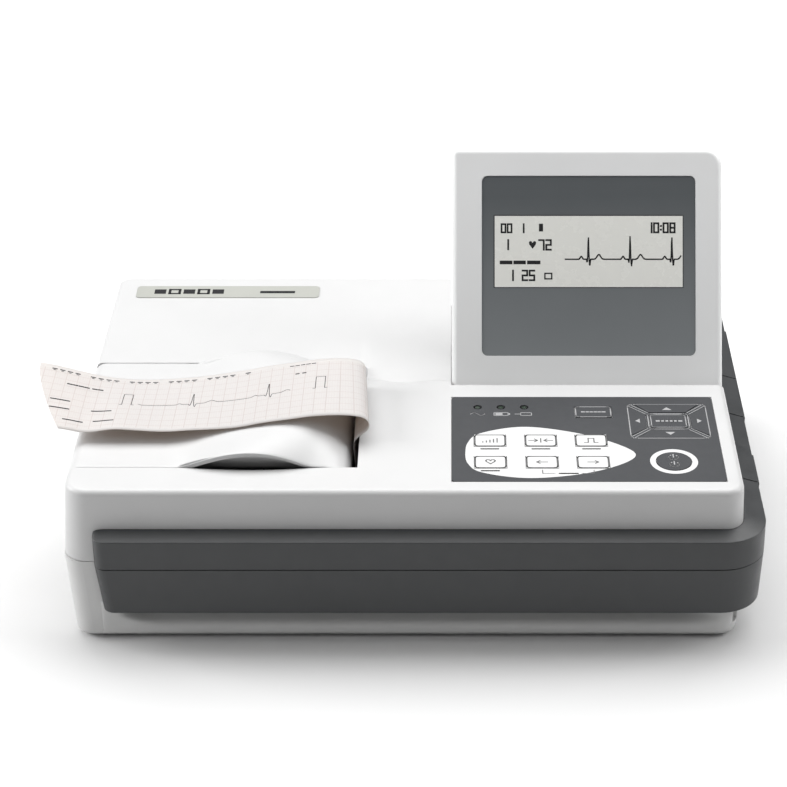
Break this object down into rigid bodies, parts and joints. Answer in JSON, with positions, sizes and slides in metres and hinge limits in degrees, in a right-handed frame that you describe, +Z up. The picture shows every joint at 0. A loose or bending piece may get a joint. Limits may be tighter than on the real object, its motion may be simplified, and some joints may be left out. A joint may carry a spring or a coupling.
{
  "type": "electrocardiograph",
  "caption": "Portable desktop electrocardiograph with a flip-up display, membrane keypad, strip-paper recorder under a hinged door, side ports and a rear mains inlet.",
  "frame": {"origin": "on the table, at the middle of the whole object's footprint", "axes": "+Z up, +Y to the rear face, +X to the operator's right (keypad and display side)"},
  "size_m": [0.3101, 0.204, 0.1584],
  "materials": {
    "white_abs": "fine satin",
    "grey_abs": "fine satin",
    "dark_abs": "fine texture",
    "panel_abs": "fine satin",
    "plate_print": "satin",
    "keypad_film": "satin film",
    "key_film": "satin film",
    "window_acrylic": "clear, dark border",
    "lcd": "reflective",
    "board": "solder mask",
    "lamp": "diffuse",
    "steel": "bright",
    "black_plastic": "satin",
    "tub_plastic": "satin",
    "rubber_black": "matt",
    "gear_plastic": "natural acetal",
    "paper": "thermal paper",
    "card": "card",
    "ceramic": "glazed",
    "battery_wrap": "shrink film",
    "brass": "bright",
    "core": "laminated"
  },
  "bodies": {
    "case": {"top_cover": "white_abs", "bottom_case": "grey_abs", "battery_cover": "grey_abs", "upper_bumper": "dark_abs", "lower_bumper": "dark_abs", "name_plate": "plate_print", "keypad_overlay": "keypad_film", "keypad_board": "board", "status_leds": "lamp", "display_hinge_pins": "steel", "recorder_chassis": "tub_plastic", "recorder_pins": "steel", "thermal_head": "ceramic", "head_bracket": "steel", "head_springs": "steel", "stepper_motor": "steel", "main_board": "board", "signal_shield": "steel", "power_board": "board", "transformer": "core", "battery_pack": "battery_wrap", "buzzer": "black_plastic", "feet": "rubber_black", "case_screws": "steel", "mains_inlet": "black_plastic", "switch_frame": "black_plastic", "equipotential_stud": "brass", "patient_connector": "steel", "serial_connector": "steel", "io_connector": "black_plastic", "jackscrews": "steel"},
    "display": {"display_bezel": "panel_abs", "display_back_shell": "panel_abs", "display_window": "window_acrylic", "lcd_module": "lcd", "display_board": "board"},
    "recorder_door": {"recorder_door": "white_abs", "paper_strip": "paper"},
    "platen": {"platen_roller": "rubber_black", "platen_shaft": "steel", "platen_gear": "gear_plastic"},
    "idler": {"idler_gear": "gear_plastic"},
    "pinion": {"motor_pinion": "brass"},
    "paper": {"paper_roll": "paper", "paper_core": "card", "paper_spool": "tub_plastic"},
    "rocker": {"power_rocker": "black_plastic"},
    "key_sensitivity_cap": {"key_sensitivity": "key_film"},
    "key_reset_cap": {"key_reset": "key_film"},
    "key_calibrate_cap": {"key_calibrate": "key_film"},
    "key_mode_cap": {"key_mode": "key_film"},
    "key_lead_back_cap": {"key_lead_back": "key_film"},
    "key_lead_next_cap": {"key_lead_next": "key_film"},
    "key_menu_cap": {"key_menu": "key_film"},
    "key_ok_cap": {"key_ok": "key_film"},
    "key_up_cap": {"key_up": "key_film"},
    "key_down_cap": {"key_down": "key_film"},
    "key_left_cap": {"key_left": "key_film"},
    "key_right_cap": {"key_right": "key_film"},
    "key_power_cap": {"key_power": "key_film"}
  },
  "joints": [
    {"name": "display_hinge", "type": "hinge", "parent": "case", "child": "display", "pos_m": [0.08425, -0.0003, 0.066], "axis": [1, 0, 0], "range_deg": [-60, 10]},
    {"name": "recorder_door_hinge", "type": "hinge", "parent": "case", "child": "recorder_door", "pos_m": [-0.1285, -0.0294, 0.0648], "axis": [0, -1, 0], "range_deg": [0, 70]},
    {"name": "platen_spin", "type": "hinge", "parent": "recorder_door", "child": "platen", "pos_m": [-0.02105, -0.0294, 0.051], "axis": [0, -1, 0], "continuous": true},
    {"name": "idler_spin", "type": "hinge", "parent": "case", "child": "idler", "pos_m": [-0.02309, 0.0036, 0.03513], "axis": [0, -1, 0], "continuous": true},
    {"name": "pinion_spin", "type": "hinge", "parent": "case", "child": "pinion", "pos_m": [-0.03662, 0.0036, 0.0302], "axis": [0, -1, 0], "continuous": true},
    {"name": "paper_roll_spin", "type": "hinge", "parent": "case", "child": "paper", "pos_m": [-0.08, -0.0294, 0.031], "axis": [0, -1, 0], "continuous": true},
    {"name": "power_rocker_tilt", "type": "hinge", "parent": "case", "child": "rocker", "pos_m": [-0.056, 0.098, 0.024], "axis": [-1, 0, 0], "range_deg": [0, 12]},
    {"name": "key_sensitivity_press", "type": "slide", "parent": "case", "child": "key_sensitivity_cap", "axis": [0, 0, -1], "range_m": [0, 0.0004], "stiffness_N_per_m": 800},
    {"name": "key_reset_press", "type": "slide", "parent": "case", "child": "key_reset_cap", "axis": [0, 0, -1], "range_m": [0, 0.0004], "stiffness_N_per_m": 800},
    {"name": "key_calibrate_press", "type": "slide", "parent": "case", "child": "key_calibrate_cap", "axis": [0, 0, -1], "range_m": [0, 0.0004], "stiffness_N_per_m": 800},
    {"name": "key_mode_press", "type": "slide", "parent": "case", "child": "key_mode_cap", "axis": [0, 0, -1], "range_m": [0, 0.0004], "stiffness_N_per_m": 800},
    {"name": "key_lead_back_press", "type": "slide", "parent": "case", "child": "key_lead_back_cap", "axis": [0, 0, -1], "range_m": [0, 0.0004], "stiffness_N_per_m": 800},
    {"name": "key_lead_next_press", "type": "slide", "parent": "case", "child": "key_lead_next_cap", "axis": [0, 0, -1], "range_m": [0, 0.0004], "stiffness_N_per_m": 800},
    {"name": "key_menu_press", "type": "slide", "parent": "case", "child": "key_menu_cap", "axis": [0, 0, -1], "range_m": [0, 0.0004], "stiffness_N_per_m": 800},
    {"name": "key_ok_press", "type": "slide", "parent": "case", "child": "key_ok_cap", "axis": [0, 0, -1], "range_m": [0, 0.0004], "stiffness_N_per_m": 800},
    {"name": "key_up_press", "type": "slide", "parent": "case", "child": "key_up_cap", "axis": [0, 0, -1], "range_m": [0, 0.0004], "stiffness_N_per_m": 800},
    {"name": "key_down_press", "type": "slide", "parent": "case", "child": "key_down_cap", "axis": [0, 0, -1], "range_m": [0, 0.0004], "stiffness_N_per_m": 800},
    {"name": "key_left_press", "type": "slide", "parent": "case", "child": "key_left_cap", "axis": [0, 0, -1], "range_m": [0, 0.0004], "stiffness_N_per_m": 800},
    {"name": "key_right_press", "type": "slide", "parent": "case", "child": "key_right_cap", "axis": [0, 0, -1], "range_m": [0, 0.0004], "stiffness_N_per_m": 800},
    {"name": "key_power_press", "type": "slide", "parent": "case", "child": "key_power_cap", "axis": [0, 0, -1], "range_m": [0, 0.0004], "stiffness_N_per_m": 800}
  ],
  "couplings": [
    {"joint": "idler_spin", "follows": "platen_spin", "ratio": -0.66667},
    {"joint": "pinion_spin", "follows": "platen_spin", "ratio": 1.3333}
  ]
}
